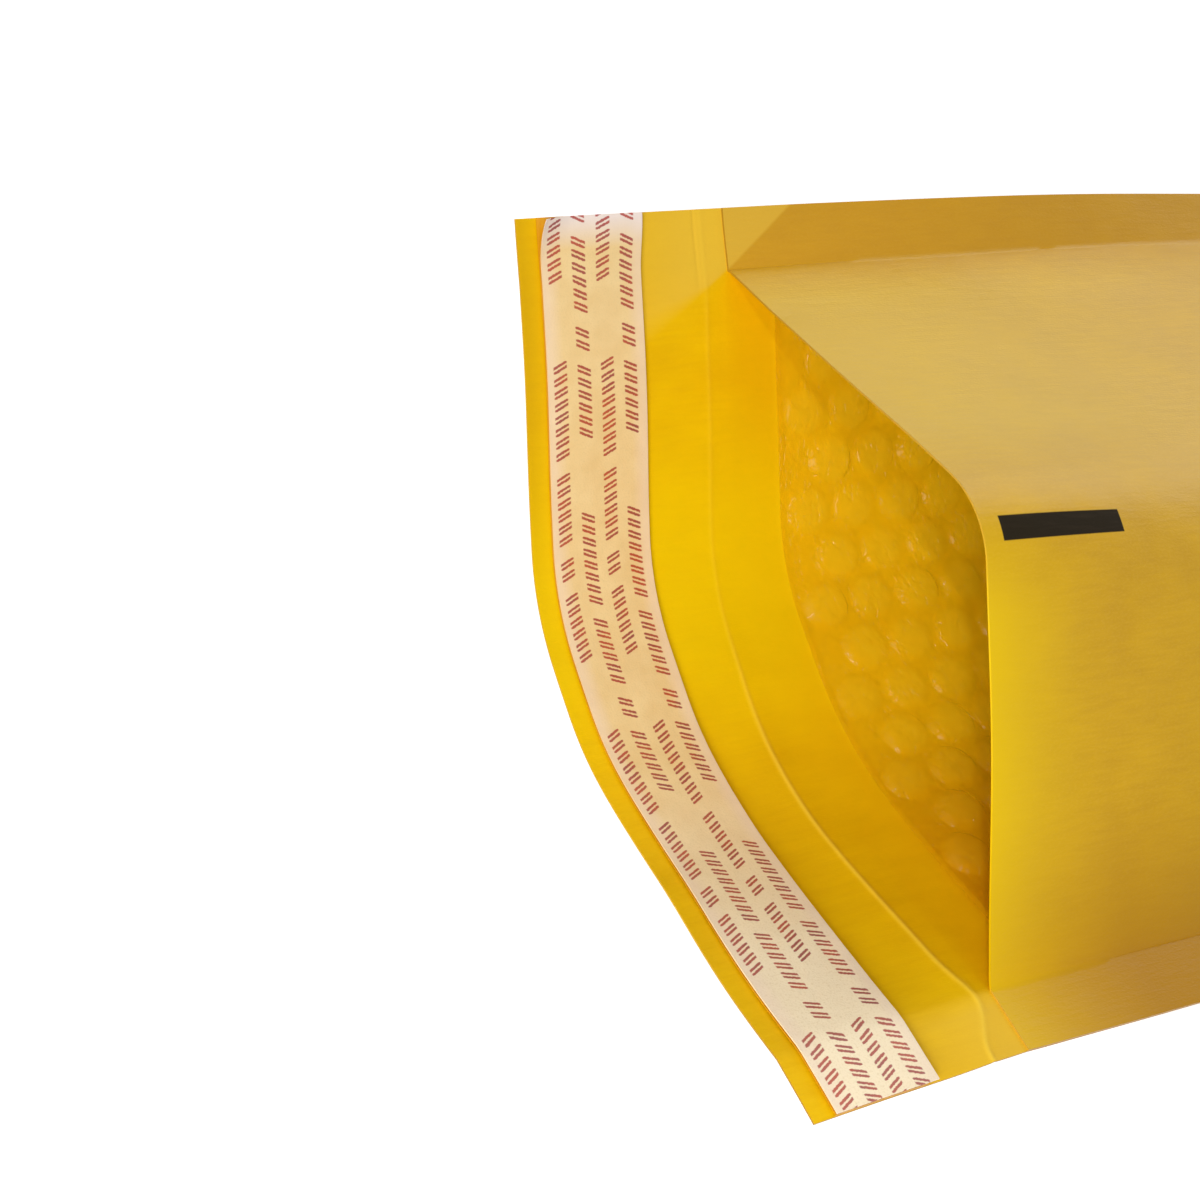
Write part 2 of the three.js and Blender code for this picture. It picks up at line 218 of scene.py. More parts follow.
def crease_highlight(x, s):
    """How much of the painted highlight along the crease there is at a point: a pale line for the light that
    the crease catches.
    """
    highlight_share = CREASE_WEAK_HIGHLIGHT + (1 - CREASE_WEAK_HIGHLIGHT) * crease_side(s)
    return hump((x - crease_line(s)) / CREASE_WIDTH) * highlight_share


def hand_cut(x, s):
    """How far the flap's free edge is drawn in at s, shared out over the flap."""
    return CUT_DEPTH * hump((s - CUT_MIDDLE) / CUT_WIDTH) * smooth(x / FLAP_END)


def waves(x, s, table):
    """The gentle waves of handled paper."""
    return sum(height * np.sin(x / along + s / across + phase) for height, along, across, phase in table)


def relief(x, s):
    """How far the creased, handled paper stands off its even form, along its normal. Both layers of the seams
    and the pieces on the flap share it. Its waves fade out on the flat that the envelope lies on."""
    crease = x - crease_line(s)
    sharp = CREASE_FAINT + (1 - CREASE_FAINT) * crease_side(s)
    ridge = CREASE_HEIGHT * sharp * hump(crease / CREASE_WIDTH)
    rounded = np.sqrt(crease**2 + CREASE_ROUNDING**2)
    fold = -CREASE_SLOPE * sharp * rounded * hump(crease / CREASE_REACH)
    at_edge = smooth((s - SCORE_FROM) / SCORE_FADE)
    score = -SCORE_DEPTH * hump((crease + SCORE_OFFSET) / SCORE_WIDTH) * at_edge
    beyond = CORNER_ACROSS[0] * x + CORNER_ACROSS[1] * (s - HALF_POCKET)
    turned = np.logaddexp(0, beyond / CORNER_ROUNDING) * CORNER_ROUNDING
    corner = -CORNER_SLOPE * turned * hump(np.hypot(x, s - HALF_POCKET) / CORNER_REACH)
    off_floor = smooth((np.abs(s - BEND_OFFSET) - FLAT_HALF) / WAVE_RISE)
    towards_end = 1 - WAVE_LOSS * smooth(x / LENGTH)
    return off_floor * towards_end * waves(x, s, BACK_WAVES) + ridge + fold + score + corner


def front_relief(x, share):
    """The same for the front panel. It agrees with the back panel's at both seams."""
    inner = smooth(np.minimum(share, 1 - share) / FRONT_SEAM_SHARE)
    even = waves(x, (share - 0.5) * POCKET, FRONT_WAVES)
    rest = 1 - smooth((x - LENGTH + 3 * NOSE) / (2 * NOSE))
    seam = np.where(share < 0.5, -HALF_POCKET, HALF_POCKET)
    return inner * rest * even + (1 - inner) * relief(x, seam)


def back_point(x, s, lift):
    """Points of the back panel or the flap, lifted off the outer face along the sheet's normal."""
    x, s, lift = np.broadcast_arrays(*(np.asarray(part, float) for part in (x, s, lift)))
    lift = lift + relief(x, s)
    x = x + hand_cut(x, s)
    turn = np.maximum(SIDE_TURN * gape(x), 1e-6)
    left = s > BEND_OFFSET
    side = np.where(left, 1.0, -1.0)
    reach = np.where(left, BEND_REACH_LEFT, BEND_REACH_RIGHT)
    seam = HALF_POCKET - side * BEND_OFFSET
    flange_turn = turn - np.where(left, FLANGE_DROP_LEFT, FLANGE_DROP_RIGHT) * gape(x)
    q = np.abs(s - BEND_OFFSET)
    radius = (reach - FLAT_HALF) / turn
    bent = np.clip(q - FLAT_HALF, 0, reach - FLAT_HALF) / radius
    straight = np.clip(q - reach, 0, seam - reach)
    flange = np.maximum(q - seam, 0)
    out = np.minimum(q, FLAT_HALF) + radius * np.sin(bent)
    out = out + straight * np.cos(turn) + flange * np.cos(flange_turn)
    up = radius * (1 - np.cos(bent)) + straight * np.sin(turn) + flange * np.sin(flange_turn)
    slope = np.where(flange > 0, flange_turn, bent)
    y = BEND_OFFSET + side * (out - lift * np.sin(slope))
    return np.stack([x, y, np.maximum(up + lift * np.cos(slope), 0)], -1)


def arch(arc, turn, bend, leg):
    """A straight leg, a bend that turns down and a straight rest: how far along and up each arc length is."""
    radius = bend / turn
    bent = np.clip(arc - leg, 0, bend) / radius
    rest = np.maximum(arc - leg - bend, 0)
    along = np.minimum(arc, leg) + radius * np.sin(bent) + rest * np.cos(turn)
    return along, -radius * (1 - np.cos(bent)) - rest * np.sin(turn)


def front_sections(x):
    """The front panel's sections: arches of fixed length from seam to seam, whose ridge turns as far as the
    distance between the seams asks for."""
    right = back_point(x, -HALF_POCKET, PAPER - relief(x, -HALF_POCKET))
    left = back_point(x, HALF_POCKET, PAPER - relief(x, HALF_POCKET))
    chord = np.linalg.norm(left - right, axis=-1)
    closed = 1 - gape(x)
    length = POCKET + PAD_FULLNESS * closed
    haste = closed**RIDGE_HASTE
    bend = RIDGE_BEND * (1 - haste) + RIDGE_SPREAD * length * haste
    leg = np.clip(RIDGE_SHARE * length - bend / 2, 0.001, length - bend - 0.001)
    least, most = np.full_like(x, 1e-4), np.full_like(x, math.pi)
    for _ in range(50):
        middle = (least + most) / 2
        wide = np.hypot(*arch(length, middle, bend, leg)) > chord
        least, most = np.where(wide, middle, least), np.where(wide, most, middle)
    along, down = arch(length, least, bend, leg)
    across = (left - right) / chord[..., None]
    return right, across, length, bend, leg, least, np.arctan2(down, along)


def front_point(x, share, lift, nose_end):
    """Points of the front panel at shares of the arch from the -Y seam, lifted off its inner face."""
    x, share, lift = np.broadcast_arrays(*(np.asarray(part, float) for part in (x, share, lift)))
    lift = lift + front_relief(x, share)
    lengths, where = np.unique(x, return_inverse=True)
    where = where.reshape(x.shape)
    right, across, length, bend, leg, turn, tilt = (part[where] for part in front_sections(lengths))
    arc = share * length
    along, down = arch(arc, turn, bend, leg)
    flat_along = along * np.cos(tilt) + down * np.sin(tilt)
    flat_up = down * np.cos(tilt) - along * np.sin(tilt)
    slope = -np.clip(arc - leg, 0, bend) / bend * turn - tilt
    stand = np.sqrt(1 - np.clip((x - nose_end + NOSE) / NOSE, 0, 1) ** 2)
    up = np.stack([np.zeros_like(x), -across[..., 2], across[..., 1]], -1)
    point = (
        right
        + across * (flat_along - lift * np.sin(slope))[..., None]
        + up * (flat_up * stand + lift * np.cos(slope))[..., None]
    )
    point[..., 0] += MOUTH_BOW * np.sin(np.pi * share) * gape(x)
    return point


# Meshes

class Sheets:
    """Collects nets of points with their flat coordinates, and welds them into one mesh."""

    def __init__(self):
        self.points, self.flat, self.marks, self.faces, self.kinds = [], [], [], [], []
        self.count = 0

    def net(self, points, flat, kind=0, turned_over=False, mark=0.0):
        """Adds a grid of points, rows along +X and columns along +Y face up, and its flat coordinates."""
        rows, columns = points.shape[:2]
        index = np.arange(rows * columns).reshape(rows, columns)
        quads = np.stack([index[:-1, :-1], index[1:, :-1], index[1:, 1:], index[:-1, 1:]], -1).reshape(-1, 4)
        flat = np.broadcast_to(flat, (rows, columns, 2)).reshape(-1, 2)
        mark = np.broadcast_to(mark, (rows, columns)).ravel()
        self.add(points.reshape(-1, 3), flat, quads, kind=kind, turned_over=turned_over, mark=mark)

    def add(self, points, flat, *face_sets, kind=0, turned_over=False, mark=0.0):
        """Adds points, and faces that count from the first of them. mark is a number for each point, for the
        material to read."""
        for faces in face_sets:
            faces = faces + self.count
            self.faces.append(faces[:, ::-1] if turned_over else faces)
            self.kinds.append(np.full(len(faces), kind))
        self.points.append(points)
        self.flat.append(flat)
        self.marks.append(np.broadcast_to(mark, len(points)))
        self.count += len(points)

    def mesh(self, name):
        """One welded mesh with the flat coordinates as its UV map and the marks as an attribute. A face that
        lost a side in the weld becomes a triangle, and one that lost two is left out."""
        points, flat, marks = (np.concatenate(part) for part in (self.points, self.flat, self.marks))
        grid = np.round(points / WELD).astype(np.int64)
        _, first, where = np.unique(grid, axis=0, return_index=True, return_inverse=True)
        where = where.reshape(-1)
        corners, kinds = [], []
        for faces, kind in zip(self.faces, self.kinds):
            for face, k in zip(faces.tolist(), kind.tolist()):
                kept = [c for i, c in enumerate(face) if where[c] != where[face[i - 1]]]
                if len(kept) > 2 and len({where[c] for c in kept}) == len(kept):
                    corners.append(kept)
                    kinds.append(k)
        mesh = bpy.data.meshes.new(name)
        mesh.from_pydata(points[first].tolist(), [], [[int(where[c]) for c in face] for face in corners])
        mesh.polygons.foreach_set("material_index", kinds)
        layer = mesh.uv_layers.new(name="Sheet")
        corner_points = [c for face in corners for c in face]
        layer.uv.foreach_set("vector", flat[corner_points].astype(np.float32).ravel())
        mark = mesh.attributes.new("Mark", "FLOAT", "POINT")
        mark.data.foreach_set("value", marks[first].astype(np.float32))
        mesh.polygons.foreach_set("use_smooth", [True] * len(mesh.polygons))
        mesh.set_sharp_from_angle(angle=SHARP_ANGLE)
        mesh.update()
        return mesh


def piece(name, sheets, materials, slot, *nodes):
    """A finished piece that stands for CAD nodes and rides with the envelope."""
    mesh = sheets.mesh(name)
    for material in materials:
        mesh.materials.append(material)
    made = bpy.data.objects.new(name, mesh)
    bpy.context.scene.collection.objects.link(made)
    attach(made, "root")
    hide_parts(*nodes)
    return made


def steps(start, end, size):
    """Even steps of at most that size, both ends included."""
    return np.linspace(start, end, max(2, math.ceil(abs(end - start) / size - 1e-9) + 1))


def joined(*parts):
    """Lists of steps end to end, each starting where the last one ends."""
    return np.concatenate([parts[0], *(part[1:] for part in parts[1:])])


def across_steps(size):
    """Shares across the pocket from the -Y seam, closer together at the ridge and next to the seams."""
    ridge = RIDGE_BEND / POCKET
    return joined(
        steps(0, 0.06, 0.5 * size / POCKET),
        steps(0.06, RIDGE_SHARE - ridge, size / POCKET),
        steps(RIDGE_SHARE - ridge, RIDGE_SHARE + ridge, 0.6 * size / POCKET),
        steps(RIDGE_SHARE + ridge, 0.94, size / POCKET),
        steps(0.94, 1, 0.5 * size / POCKET),
    )


def nose_steps(start, nose_end, last, size):
    """Steps along the pocket, with the turn down to nose_end in short ones."""
    turn = nose_end - NOSE + NOSE * np.sin(np.linspace(0, 1, 9)[1:] * math.pi / 2)
    turn = turn[turn < last - PAPER / 2]
    straight = joined(steps(start, 0.1, size), steps(0.1, nose_end - NOSE, 1.6 * size))
    return np.concatenate([straight, turn, [last]])


OUTSIDE, INSIDE = 0, 1


def paper_wrapper():
    """The paper sheet, folded at the closed end and glued along both sides. The back panel runs on as the
    flap. The flat coordinates run on round the fold, from the flap's free edge to the mouth's."""
    sheets = Sheets()
    shares = across_steps(ACROSS_STEP)
    pocket = (shares - 0.5) * POCKET
    left_flange = steps(HALF_POCKET, HALF_WIDTH, FLANGE_STEP)[1:]
    whole = np.concatenate([-left_flange[::-1], pocket, left_flange])
    flap_lengths = joined(
        steps(FLAP_END, -0.009, 0.0013), steps(-0.009, -0.0035, 0.0003), steps(-0.0035, 0, 0.0007)
    )
    body_lengths = nose_steps(0, LENGTH, LENGTH, ALONG_STEP)
    hollow_end = LENGTH - PAPER
    hollow_lengths = nose_steps(0, hollow_end, LENGTH - 3 * PAPER, ALONG_STEP)

    def back(lengths, across, lift, kind, turned_over):
        x, s = lengths[:, None], across[None]
        flat = np.stack(np.broadcast_arrays(x, s), -1)
        sheets.net(back_point(x, s, lift), flat, kind, turned_over, crease_highlight(x, s))

    def valley(x, share, seam, tip):
        """Where the front panel's outer face meets the flange's, a paper's thickness from both."""
        inside = back_point(x, seam, PAPER)
        normal = back_point(x, tip, PAPER + 1) - back_point(x, tip, PAPER)
        arch_normal = front_point(x, share, 1, LENGTH) - front_point(x, share, 0, LENGTH)
        spread = 1 + (normal * arch_normal).sum(-1, keepdims=True)
        return inside + (normal + arch_normal) * PAPER / spread

    def front_outside(lengths):
        x = lengths[:, None]
        right = back_point(x, -left_flange[None, ::-1], 2 * PAPER)
        left = back_point(x, left_flange[None], 2 * PAPER)
        row = front_point(x, shares[None], PAPER, LENGTH)
        row[:, 0] = valley(lengths, 0.0, -HALF_POCKET, -HALF_WIDTH)
        row[:, -1] = valley(lengths, 1.0, HALF_POCKET, HALF_WIDTH)
        return np.concatenate([right, row, left], 1)

    def front_inside(lengths):
        row = front_point(lengths[:, None], shares[None], 0, hollow_end)
        row[:, 0] = back_point(lengths, -HALF_POCKET, PAPER)
        row[:, -1] = back_point(lengths, HALF_POCKET, PAPER)
        return row

    def flat_front(lengths, across):
        return np.stack(np.broadcast_arrays(2 * LENGTH - lengths[:, None], across[None]), -1)

    back(joined(flap_lengths, body_lengths), whole, 0, OUTSIDE, True)
    back(flap_lengths, whole, PAPER, INSIDE, False)
    back(hollow_lengths, pocket, PAPER, INSIDE, False)
    outside = front_outside(body_lengths)
    sheets.net(outside, flat_front(body_lengths, whole), OUTSIDE, False)
    inside = front_inside(hollow_lengths)
    sheets.net(inside, flat_front(hollow_lengths, pocket), INSIDE, True)

    def rim(rows_of_points, x, across, kind, turned_over):
        """A narrow band that closes the sheet's edge at x."""
        flat = np.stack([np.full_like(across, x), across], -1)
        sheets.net(np.stack(rows_of_points), flat[None], kind, turned_over)

    flanges = [back_point(0.0, part, PAPER) for part in (-left_flange[::-1], left_flange)]
    rim([np.concatenate([flanges[0], inside[0], flanges[1]]), outside[0]], 2 * LENGTH, whole, OUTSIDE, False)
    rim([back_point(FLAP_END, whole, lift) for lift in (0, PAPER)], FLAP_END, whole, OUTSIDE, False)
    fold = [back_point(LENGTH, whole, 0), back_point(LENGTH, whole, PAPER), outside[-1]]
    rim(fold, LENGTH, whole, OUTSIDE, True)
    rim([back_point(hollow_lengths[-1], pocket, PAPER), inside[-1]], LENGTH, pocket, INSIDE, False)
    for edge in (-HALF_WIDTH, HALF_WIDTH):
        for lengths, layers in ((flap_lengths, 1), (body_lengths, 2)):
            lifts = np.arange(layers + 1)[None] * PAPER
            points = back_point(lengths[:, None], edge, lifts)
            flat = np.stack(np.broadcast_arrays(lengths[:, None], edge + 0 * lifts), -1)
            sheets.net(points, flat, OUTSIDE, edge > 0)
    return sheets


def corner_shares(x, gap):
    """The shares across at which the two papers lie that far apart, near the -Y seam and near the +Y seam."""
    found = []
    for seam_share in (0.0, 1.0):
        near, far = np.zeros_like(x), np.full_like(x, 0.4)
        for _ in range(30):
            middle = (near + far) / 2
            share = np.abs(seam_share - middle)
            apart = front_point(x, share, 0, LENGTH) - back_point(x, (share - 0.5) * POCKET, PAPER)
            close = np.linalg.norm(apart, axis=-1) < gap
            near, far = np.where(close, middle, near), np.where(close, far, middle)
        found.append(np.abs(seam_share - far))
    return found


def bubble_lining():
    """The bubble film, folded at the closed end with the paper and closed along both sides. Its outer face is
    smooth, and its inner face has a round bubble in each cell of a honeycomb. A place counts half pitches
    along the sheet and thirds of a row across it."""
    sheets = Sheets()
    draw = np.random.default_rng(7)
    outer_end = LENGTH - 4 * PAPER
    inner_end = outer_end - PAD / 2
    inner_last = inner_end - 2 * PAPER
    row_spacing = BUBBLE_PITCH * math.sqrt(3) / 2
    rows = 2 * round((POCKET - 2 * PAD_CORNER_INNER) / row_spacing / 2 - 0.5) + 1
    half_pitches = 2 * round((inner_last - PAD_SETBACK) / BUBBLE_PITCH)
    half_pitch = (inner_last - PAD_SETBACK) / half_pitches
    thirds = 3 * (rows - 1) + 2
    last_place = np.array([half_pitches, thirds], float)
    lengths = np.linspace(PAD_SETBACK, inner_last, half_pitches * 6 + 1)
    inner_from, inner_to = corner_shares(lengths, PAD_CORNER_INNER)

    def placed(along, third, height, face):
        """Points of one face at half pitches along and thirds across, lifted off the film between bubbles."""
        along, third = np.clip(along, 0, half_pitches), np.clip(third, 0, thirds)
        x = PAD_SETBACK + along * half_pitch
        start = np.interp(x, lengths, inner_from)
        share = start + (np.interp(x, lengths, inner_to) - start) * third / thirds
        s = (share - 0.5) * POCKET
        gap = np.linalg.norm(front_point(x, share, 0, LENGTH) - back_point(x, s, PAPER), axis=-1)
        depth = np.minimum(FILM_DEPTH + height, (gap - PAD_LEAST_HOLLOW) / 2)
        on_back = back_point(x, s, PAPER + depth)
        on_front = front_point(x, share, -depth, inner_end)
        seam = ((third <= WELD) | (third >= thirds - WELD))[..., None]
        point = np.where(seam, (on_back + on_front) / 2, on_back if face == "back" else on_front)
        return point, np.stack([x, share], -1)

    # Cell corners, and the points along its sides, go round from the -Y side towards +X.
    corners = np.array([[0, -2], [1, -1], [1, 1], [0, 2], [-1, 1], [-1, -1], [0, -2]], float)
    sides = zip(corners, corners[1:])
    edge = np.concatenate([np.linspace(start, end, CELL_SIDE_STEPS + 1)[:-1] for start, end in sides])
    around = len(edge)
    angle = np.arctan2(edge[:, 1] / math.sqrt(3), edge[:, 0])
    disc = np.stack([np.cos(angle), np.sin(angle) * math.sqrt(3)], -1)
    reach = BUBBLE_RADIUS * BUBBLE_RINGS[1:, None, None]
    heights = np.concatenate([BUBBLE_RISE[:1], np.repeat(BUBBLE_RISE[1:], around), np.zeros(around)])
    turn = np.arange(around)
    after = (turn + 1) % around
    fan = np.stack([np.zeros(around, int), 1 + turn, 1 + after], -1)
    bands = []
    for ring in range(len(BUBBLE_RINGS) - 1):
        inner, outer = 1 + ring * around, 1 + (ring + 1) * around
        bands.append(np.stack([inner + turn, outer + turn, outer + after, inner + after], -1))
    bands = np.concatenate(bands)

    cells = [(row, i) for row in range(rows) for i in range(1 - row % 2, half_pitches + 1, 2)]
    for face in ("back", "front"):
        for row, i in cells:
            whole = 0 < i < half_pitches
            height = (PAD - FILM_DEPTH) * draw.uniform(LEAST_BUBBLE, 1.0) if whole else 0.0
            lean = draw.uniform(-BUBBLE_LEAN, BUBBLE_LEAN, 2)
            centre = np.array([i, 1 + 3 * row], float)
            border = np.clip(centre + edge, 0, last_place)
            if whole:
                inner = centre + np.clip(disc * reach, -centre * reach, (last_place - centre) * reach)
            else:
                centre[0] += HALF_CELL_SHIFT if i == 0 else -HALF_CELL_SHIFT
                inner = centre + (border - centre) * reach
            spots = np.concatenate([centre[None], inner.reshape(-1, 2), border])
            spots += heights[:, None] * lean * whole
            points, flat = placed(spots[:, 0], spots[:, 1], heights * height, face)
            # Each point's mark is its share of the bubble's height, which the film reads for painted light on
            # the crowns.
            sheets.add(points, flat, fan, bands, turned_over=face == "front", mark=heights * whole)

    def rim(end):
        """The thirds at which points of the cells lie on that end of the pad."""
        found = []
        for row, i in cells:
            border = np.clip(np.array([i, 1 + 3 * row]) + edge, 0, last_place)
            found.append(border[np.abs(border[:, 0] - end) < WELD, 1])
        return np.unique(np.round(np.concatenate(found), 6))

    # The smooth outer face, and the bands that close the pad at the mouth and at the closed end.
    columns, end_columns = rim(0), rim(half_pitches)
    outer_lengths = nose_steps(PAD_SETBACK, outer_end, outer_end - 2 * PAPER, PAD_BACK_STEP)
    outer_from, outer_to = corner_shares(outer_lengths, PAD_CORNER_OUTER)
    share = outer_from[:, None] + (outer_to - outer_from)[:, None] * columns[None] / thirds
    x = np.broadcast_to(outer_lengths[:, None], share.shape)
    back = back_point(x, (share - 0.5) * POCKET, PAPER + CLEARANCE)
    front = front_point(x, share, -CLEARANCE, outer_end)
    for column in (0, -1):
        middle = (back[:, column] + front[:, column]) / 2
        back[:, column] = middle
        front[:, column] = middle
    flat = np.stack([x, share], -1)
    sheets.net(back, flat, turned_over=True)
    sheets.net(front, flat)
    for face, outer, turned_over in (("back", back, False), ("front", front, True)):
        row, row_flat = placed(np.zeros(len(columns)), columns, 0.0, face)
        sheets.net(np.stack([outer[0], row]), np.stack([flat[0], row_flat]), turned_over=turned_over)
    sheets.net(np.stack([back[-1], front[-1]]), flat[-1][None], turned_over=True)
    at_end = np.full(len(end_columns), float(half_pitches))
    on_back, end_flat = placed(at_end, end_columns, 0.0, "back")
    on_front = placed(at_end, end_columns, 0.0, "front")[0]
    sheets.net(np.stack([on_back, on_front]), end_flat[None])
    return sheets


def flap_strip(lengths, across, lift, thickness, loosen):
    """A thin strip on the flap. loosen moves a point of it along the sheet, across it and off it."""
    sheets = Sheets()
    x, s = np.broadcast_arrays(lengths[:, None], across[None])
    moved_x, moved_s, rise = loosen(x, s)
    flat = np.stack([x - lengths[0], s], -1)
    under = back_point(moved_x, moved_s, PAPER + lift + rise)
    over = back_point(moved_x, moved_s, PAPER + lift + thickness + rise)
    sheets.net(under, flat, turned_over=True)
    sheets.net(over, flat)
    for row, turned_over in ((0, False), (-1, True)):
        sheets.net(np.stack([under[row], over[row]]), flat[row][None], turned_over=turned_over)
    for column, turned_over in ((0, False), (-1, True)):
        end = np.stack([under[:, column], over[:, column]], 1)
        sheets.net(end, flat[:, column][:, None], turned_over=turned_over)
    return sheets


def adhesive_band():
    """The glue under the peel-off strip, a little narrower than it."""
    start = FLAP_END + STRIP_MARGIN
    lengths = steps(start, start + ADHESIVE_WIDTH, STRIP_STEP)
    across = steps(-HALF_WIDTH, HALF_WIDTH, STRIP_STEP)
    return flap_strip(lengths, across, CLEARANCE, ADHESIVE_THICKNESS, lambda x, s: (x, s, 0.0 * x))


def peel_strip():
    """The peel-off strip. Its corner at the flap's free edge on the +Y side has come loose and curls up."""
    start = FLAP_END + STRIP_MARGIN
    lengths = steps(start, start + STRIP_WIDTH, FINE_STRIP_STEP)
    fine_from = HALF_WIDTH - 0.016
    coarse = steps(-HALF_WIDTH, fine_from, STRIP_STEP)
    across = joined(coarse, steps(fine_from, HALF_WIDTH, FINE_STRIP_STEP))

    def curl(x, s):
        beyond = np.maximum(CURL_START - (x - start) - (HALF_WIDTH - s), 0) / math.sqrt(2)
        drawn = (beyond - CURL_RADIUS * np.sin(beyond / CURL_RADIUS)) / math.sqrt(2)
        near_end = smooth((s - HALF_WIDTH + STRIP_FLARE_LENGTH) / STRIP_FLARE_LENGTH)
        flare = STRIP_FLARE * near_end * smooth((x - start) / STRIP_WIDTH)
        return x + drawn + flare, s - drawn, CURL_RADIUS * (1 - np.cos(beyond / CURL_RADIUS))

    return flap_strip(lengths, across, 2 * CLEARANCE + ADHESIVE_THICKNESS, STRIP_PAPER, curl)


# Materials

def linear(text):
    """A colour written as on the web, as the shader wants it."""
    values = [int(text[i : i + 2], 16) / 255 for i in (1, 3, 5)]
    return tuple(v / 12.92 if v <= 0.04045 else ((v + 0.055) / 1.055) ** 2.4 for v in values) + (1.0,)


class Nodes:
    """The node tree of a material or of the world, with short calls for its nodes."""

    def __init__(self, owner, shader="Principled BSDF"):
        owner.use_nodes = True
        self.owner = owner
        self.tree = owner.node_tree
        self.shader = self.tree.nodes[shader]

    def add(self, kind, inputs=None, **settings):
        """A node with its settings, and what goes into its inputs by name or number."""
        node = self.tree.nodes.new(kind)
        for key, value in settings.items():
            setattr(node, key, value)
        for key, value in (inputs or {}).items():
            self.put(node.inputs[key], value)
        return node

    def put(self, socket, value):
        """Feeds an input with another node's output, a number, or a colour written as on the web."""
        if isinstance(value, bpy.types.NodeSocket):
            self.tree.links.new(value, socket)
        else:
            socket.default_value = linear(value) if isinstance(value, str) else value

    def surface(self, inputs):
        """What goes into the shader's own inputs."""
        for key, value in inputs.items():
            self.put(self.shader.inputs[key], value)

    def math(self, operation, a, b=0.0, clamp=False):
        return self.add("ShaderNodeMath", {0: a, 1: b}, operation=operation, use_clamp=clamp).outputs[0]

    def times(self, first, *others):
        """The product of all."""
        for other in others:
            first = self.math("MULTIPLY", first, other)
        return first

    def apart(self, a, b):
        """The distance between two numbers."""
        return self.math("ABSOLUTE", self.math("SUBTRACT", a, b))

    def mix(self, share, a, b):
        node = self.add("ShaderNodeMix", data_type="RGBA")
        self.put(node.inputs["Factor"], share)
        self.put(node.inputs[6], a)
        self.put(node.inputs[7], b)
        return node.outputs[2]

    def between(self, value, low, high, to_low=0.0, to_high=1.0):
        """value from low..high to to_low..to_high, kept within."""
        inputs = {"Value": value, "From Min": low, "From Max": high, "To Min": to_low, "To Max": to_high}
        return self.add("ShaderNodeMapRange", inputs, clamp=True).outputs["Result"]

    def window(self, value, low, high, soft):
        """1 from low to high and 0 outside, with soft edges."""
        up = self.between(value, low - soft, low + soft)
        return self.times(up, self.between(value, high + soft, high - soft))

    def sheet(self):
        """The flat coordinates."""
        return self.add("ShaderNodeUVMap", uv_map="Sheet").outputs[0]

    def split(self, vector):
        """Its x and s."""
        parts = self.add("ShaderNodeSeparateXYZ", {0: vector})
        return parts.outputs[0], parts.outputs[1]

    def mark(self):
        """The number that the mesh gives to each point."""
        return self.add("ShaderNodeAttribute", attribute_name="Mark").outputs["Fac"]

    def scaled(self, vector, factors):
        return self.add("ShaderNodeVectorMath", {0: vector, 1: factors}, operation="MULTIPLY").outputs[0]

    def noise(self, vector, scale, stretch=(1, 1, 1), detail=4.0, roughness=0.55):
        at = self.scaled(vector, stretch)
        inputs = {"Vector": at, "Scale": scale, "Detail": detail, "Roughness": roughness}
        return self.add("ShaderNodeTexNoise", inputs).outputs["Fac"]

    def bump(self, *layers):
        """Stacks heights, each with its depth in metres, into one normal."""
        normal = None
        for height, depth in layers:
            node = self.add("ShaderNodeBump", {"Height": height, "Distance": depth, "Strength": 1.0})
            if normal is not None:
                self.put(node.inputs["Normal"], normal)
            normal = node.outputs[0]
        self.surface({"Normal": normal})

    def seen(self):
        """1 for what the camera, a reflection or a clear film sees, and 0 for what lights the rest."""
        rays = self.add("ShaderNodeLightPath").outputs
        either = self.math("MAXIMUM", rays["Is Camera Ray"], rays["Is Glossy Ray"])
        return self.math("MAXIMUM", either, rays["Is Transmission Ray"])


def kraft_fibres(nodes, vector):
    """Paper fibres: a fine tangle drawn out along the sheet, and a coarser cloudiness."""
    fine = nodes.noise(vector, scale=2600, stretch=(0.35, 1, 1), detail=1.0, roughness=0.7)
    long = nodes.noise(vector, scale=900, stretch=(0.12, 1, 1), detail=1.0, roughness=0.6)
    cloud = nodes.noise(vector, scale=70, stretch=(0.7, 1, 1), detail=2.0, roughness=0.6)
    return fine, long, cloud


def left_corner_painted_light(nodes, x, s):
    """Painted light: the paper is paler over the corner outside the fold at the +Y end of the mouth."""
    beyond = nodes.math("ADD", nodes.times(x, CORNER_ACROSS[0]), nodes.times(s, CORNER_ACROSS[1]))
    beyond = nodes.math("SUBTRACT", beyond, CORNER_ACROSS[1] * HALF_POCKET)
    softness = nodes.between(x, -0.02, -0.004, 0.005, 0.0006)
    share = nodes.times(nodes.math("DIVIDE", beyond, softness, clamp=True), 0.8)
    return nodes.times(share, nodes.between(x, -0.036, -0.010))


def right_corner_painted_light(nodes, x, s):
    """Painted light too, over the flap's corner at the -Y end."""
    beyond = nodes.between(s, 0.001 - HALF_POCKET, -0.003 - HALF_POCKET, 0.0, 0.7)
    return nodes.times(beyond, nodes.between(x, -0.026, -0.004))


